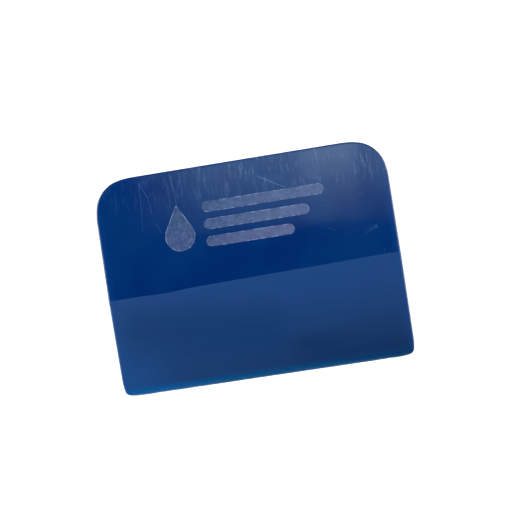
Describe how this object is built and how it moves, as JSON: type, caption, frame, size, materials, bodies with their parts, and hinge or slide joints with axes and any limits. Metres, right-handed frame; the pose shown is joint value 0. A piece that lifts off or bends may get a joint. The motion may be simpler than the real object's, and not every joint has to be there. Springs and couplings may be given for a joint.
{
  "type": "squeegee applicator",
  "caption": "Flat one-piece urethane squeegee blade with a long bevel, a rounded working edge and a plain printed mark, for smoothing adhesive film.",
  "frame": {"origin": "middle of the flat back face, on the surface that the squeegee lies on", "axes": "+X along the working edge, +Y from the working edge to the grip edge, +Z out of the printed front face"},
  "size_m": [0.12, 0.089, 0.006],
  "materials": {
    "blade_urethane": "deep blue translucent cast polyurethane, satin, finely scratched",
    "mark_ink": "silver-lavender printed ink, finely speckled"
  },
  "bodies": {
    "root": {"blade": "blade_urethane", "printed_mark_drop": "mark_ink", "printed_mark_bar_long": "mark_ink", "printed_mark_bar_middle": "mark_ink", "printed_mark_bar_short": "mark_ink"}
  },
  "joints": []
}
